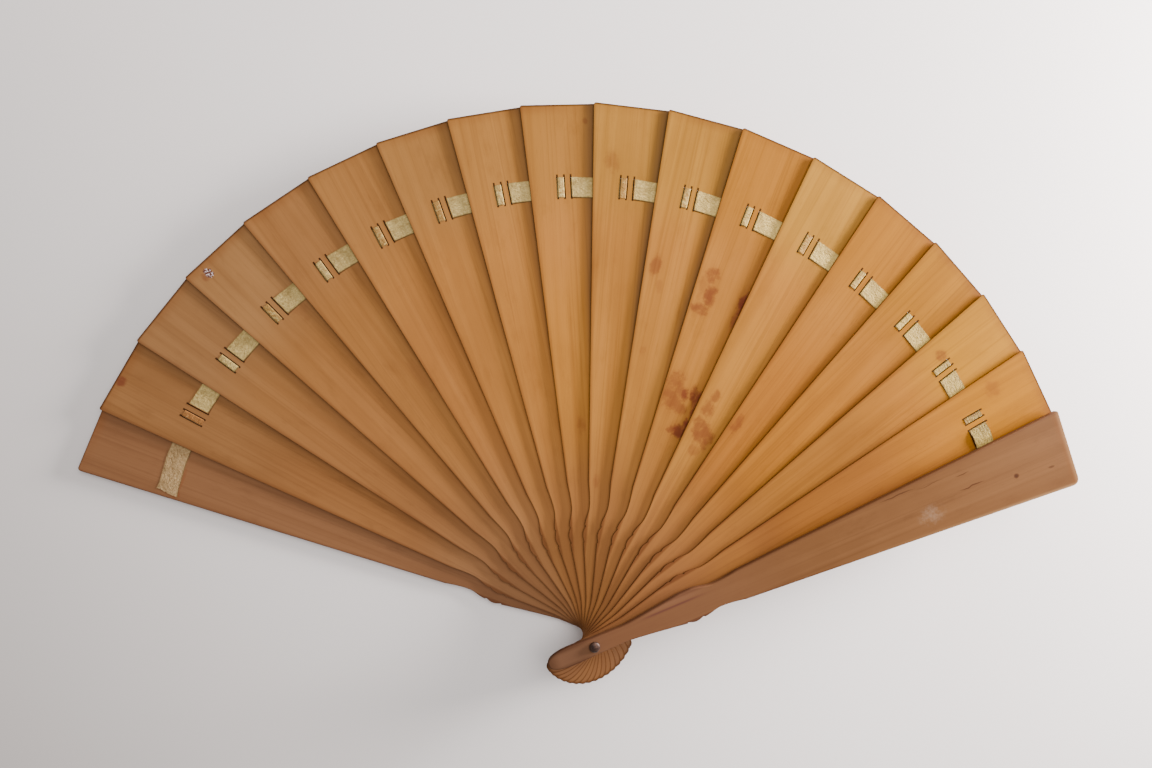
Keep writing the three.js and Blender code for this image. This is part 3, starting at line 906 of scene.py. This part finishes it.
for k in range(0, 17):
    top = blade_z(k)[1] / MM
    gap = blade_z(k + 1)[0] / MM - top
    left_x, skew = (GLUED, SKEW_START) if k == 0 else (LAST_LEG, 0)
    to_next = Matrix.Rotation(blade_angle(k + 1) - blade_angle(k), 2)

    def span(t, v, k=k, left_x=left_x, skew=skew, to_next=to_next, gap=gap):
        start = Vector((left_x, across(v) - skew))
        p = start.lerp(to_next @ Vector((FIRST_LEG, across(v))), t)
        return (p.x, p.y, span_height(k, t, gap))

    mesh = strip_mesh(f"span_{k:02d}", span, SPAN, u0=k * U_STEP + 11.0, seed=200 + k)
    mesh.transform(place(k) @ Matrix.Translation((0, 0, top * MM)))
    mat = silk(f"silk_span_{k:02d}", silk_tone(k)) if k else silk_old
    obj = link(f"silk_span_{k:02d}", mesh, Matrix(), mat)
    a = place(k) @ Vector((left_x * MM, RIBBON_AT, 0))
    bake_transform(obj)
    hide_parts(f"ribbon_span_{k:02d}")


# the two glued ends; the back one runs a little askew and is ragged
def back_end(t, v):
    flare = 1 + 0.10 * max(0.0, 1 - t * 3) ** 2
    y = across(0.5 + (v - 0.5) * flare) - mix(SKEW_END, SKEW_START, t)
    return (mix(v - 12, GLUED, t), y, CLEAR - 0.03 * (1 - t))


def front_end(t, v):
    return (mix(FIRST_LEG, 10.5, t), across(v), -CLEAR)


mesh = strip_mesh("end_back", back_end, SPAN, fray_start=True, seed=5)
matrix = place(0) @ Matrix.Translation((0, 0, blade_z(0)[1]))
obj = link("silk_end_back", mesh, matrix, silk_old)
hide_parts("ribbon_end_back")
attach(obj, "back_guard")
mesh = strip_mesh("end_front", front_end, 16, u0=700.0, seed=6)
matrix = place(FRONT) @ Matrix.Translation((0, 0, blade_z(FRONT)[0]))
obj = link("silk_end_front", mesh, matrix, silk("silk_front_end"))
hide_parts("ribbon_end_front")
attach(obj, "front_guard")

# ---------------------------------------------------------------- floor and light
def table():
    n = Nodes("table")
    soft = n.noise(n.mapped((3, 3, 3)), 2.0)
    x, y, _ = n.split()
    corner = n.math("MULTIPLY_ADD", y, 0.6, x)
    base = n.blend(n.remap(soft, 0.3, 0.7), colour("f2e7e3"), colour("f5ebe7"))
    # painted shade: it darkens towards -X and -Y, the picture's lower left
    base = n.paint(base, n.remap(corner, 0.12, -0.42), "a9a09b")
    n.put(n.bsdf.inputs["Base Color"], base)
    n.bsdf.inputs["Roughness"].default_value = 0.85
    n.bsdf.inputs["Specular IOR Level"].default_value = 0.2
    return n.mat


bm = bmesh.new()
bmesh.ops.create_grid(bm, x_segments=8, y_segments=8, size=4.0)
mesh = bpy.data.meshes.new("floor")
bm.to_mesh(mesh)
bm.free()
# a hair below the fan, so that the two surfaces don't fight
floor = link("floor", mesh, Matrix.Translation((0, 0, -0.0002)), table())

world = bpy.data.worlds.new("world")
bpy.context.scene.world = world
world.use_nodes = True
world.node_tree.nodes["Background"].inputs["Color"].default_value = (0.955, 0.98, 1.0, 1)
world.node_tree.nodes["Background"].inputs["Strength"].default_value = 0.56


def area(name, location, target, size, power, tint=(1, 1, 1)):
    """A rectangular light that faces its target."""
    data = bpy.data.lights.new(name, "AREA")
    data.shape = "RECTANGLE"
    data.size, data.size_y = size
    data.energy = power
    data.color = tint
    obj = bpy.data.objects.new(name, data)
    obj.location = location
    obj.rotation_euler = (Vector(target) - Vector(location)).to_track_quat("-Z", "Y").to_euler()
    bpy.context.scene.collection.objects.link(obj)


area("window", (0.56, 0.27, 0.115), (0.0, 0.16, 0), (0.32, 0.11), 20.0, (1.0, 0.985, 0.975))
area("sky", (0.25, 0.5, 0.8), (0, 0.1, 0), (0.9, 0.9), 10)
